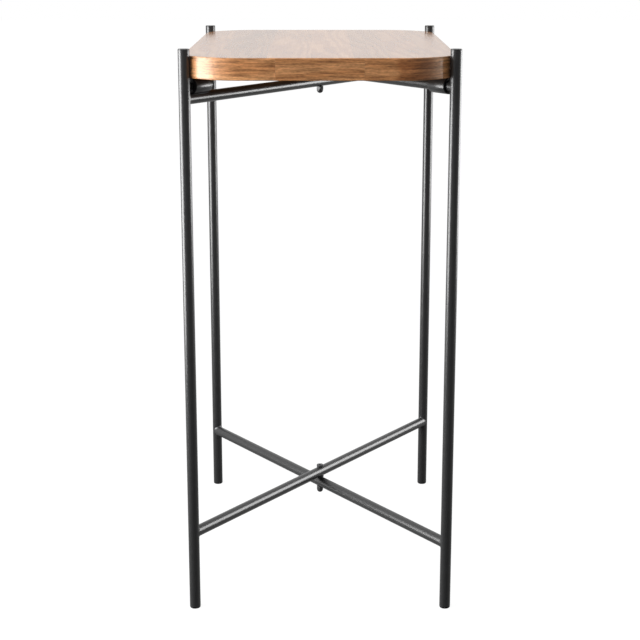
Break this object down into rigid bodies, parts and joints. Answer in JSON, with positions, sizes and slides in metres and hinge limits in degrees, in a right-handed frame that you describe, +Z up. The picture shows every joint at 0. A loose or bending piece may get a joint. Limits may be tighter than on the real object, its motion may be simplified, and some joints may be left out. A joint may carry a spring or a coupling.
{
  "type": "folding tray table",
  "caption": "Narrow folding side table: two crossed round-tube steel frames on a shared upright pivot, with a loose round-cornered wooden tray held between the leg tops.",
  "frame": {"origin": "on the floor, at the centre of the table", "axes": "+Z up, +Y from the front short end to the back short end, +X to the right as seen from the front"},
  "size_m": [0.3066, 0.48, 0.65],
  "materials": {
    "coated_steel": "fine-textured black powder coat, semi-gloss",
    "black_fastener": "black-coated bolts, nuts and washers",
    "black_plastic": "black moulded plastic, matt",
    "face_veneer": "oiled walnut-brown veneer with joined staves, grain along the length, satin lacquer",
    "edge_wood": "walnut-brown edge band, grain along the edge, satin lacquer",
    "core_board": "plain board, hidden"
  },
  "bodies": {
    "frame_a": {"leg_front_left": "coated_steel", "leg_back_right": "coated_steel", "top_plug_front_left": "coated_steel", "top_plug_back_right": "coated_steel", "foot_front_left": "black_plastic", "foot_back_right": "black_plastic", "rest_sleeve_front_left": "coated_steel", "rest_sleeve_back_right": "coated_steel", "sleeve_bush_front_left": "black_plastic", "sleeve_bush_back_right": "black_plastic", "upper_rod_a": "coated_steel", "lower_rod_a": "coated_steel", "rest_stub_front_left": "coated_steel", "rest_stub_back_right": "coated_steel", "upper_pivot_bolt": "black_fastener", "upper_pivot_spacer": "black_fastener", "upper_pivot_nut": "black_fastener", "lower_pivot_bolt": "black_fastener", "lower_pivot_washer": "black_fastener", "lower_pivot_nut": "black_fastener"},
    "frame_b": {"leg_front_right": "coated_steel", "leg_back_left": "coated_steel", "top_plug_front_right": "coated_steel", "top_plug_back_left": "coated_steel", "foot_front_right": "black_plastic", "foot_back_left": "black_plastic", "rest_sleeve_front_right": "coated_steel", "rest_sleeve_back_left": "coated_steel", "sleeve_bush_front_right": "black_plastic", "sleeve_bush_back_left": "black_plastic", "upper_rod_b": "coated_steel", "lower_rod_b": "coated_steel"},
    "tray": {"tray_core": "core_board", "tray_top_veneer": "face_veneer", "tray_bottom_veneer": "face_veneer", "edge_band_front": "edge_wood", "edge_band_back": "edge_wood", "edge_band_left": "edge_wood", "edge_band_right": "edge_wood"}
  },
  "joints": [
    {"name": "frame_fold", "type": "hinge", "parent": "frame_a", "child": "frame_b", "pos_m": [0, 0, 0.08675], "axis": [0, 0, 1], "range_deg": [0, 105]},
    {"name": "tray_lift", "type": "slide", "parent": "frame_a", "child": "tray", "axis": [0, 0, 1], "range_m": [0, 0.12]}
  ]
}
